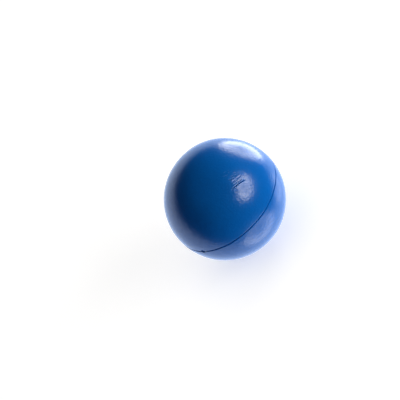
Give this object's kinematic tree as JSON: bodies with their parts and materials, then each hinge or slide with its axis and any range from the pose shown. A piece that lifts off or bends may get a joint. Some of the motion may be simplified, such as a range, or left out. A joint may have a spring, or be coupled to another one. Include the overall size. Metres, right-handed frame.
{
  "type": "stress ball",
  "caption": "Round foam stress ball with a level parting groove, a dense skin and a coloured coat; it flattens when squeezed.",
  "frame": {"origin": "lower pole of the ball, where it touches a table", "axes": "+Z along the mould's axis from the lower pole to the upper pole, square to the parting groove; -Y is the side that faces the viewer, +X is to the right"},
  "size_m": [0.07, 0.07, 0.07],
  "materials": {
    "coat": "satin blue polyurethane paint film, finely pebbled",
    "skin": "dense cream polyurethane skin, smooth",
    "foam": "cream cellular polyurethane foam, matt and open-celled",
    "flash": "dark blue trimmed foam edge, matt"
  },
  "bodies": {
    "lower_half": {"foam_core": "foam", "lower_skin": "skin", "lower_coat": "coat", "parting_flash": "flash", "gate_stub": "flash"},
    "upper_half": {"upper_skin": "skin", "upper_coat": "coat"}
  },
  "joints": [
    {"name": "squeeze", "type": "slide", "parent": "lower_half", "child": "upper_half", "axis": [0, 0, -1], "range_m": [0, 0.025], "stiffness_N_per_m": 2000, "deforming": ["foam_core", "lower_skin", "lower_coat", "parting_flash", "gate_stub", "upper_skin", "upper_coat"]}
  ]
}
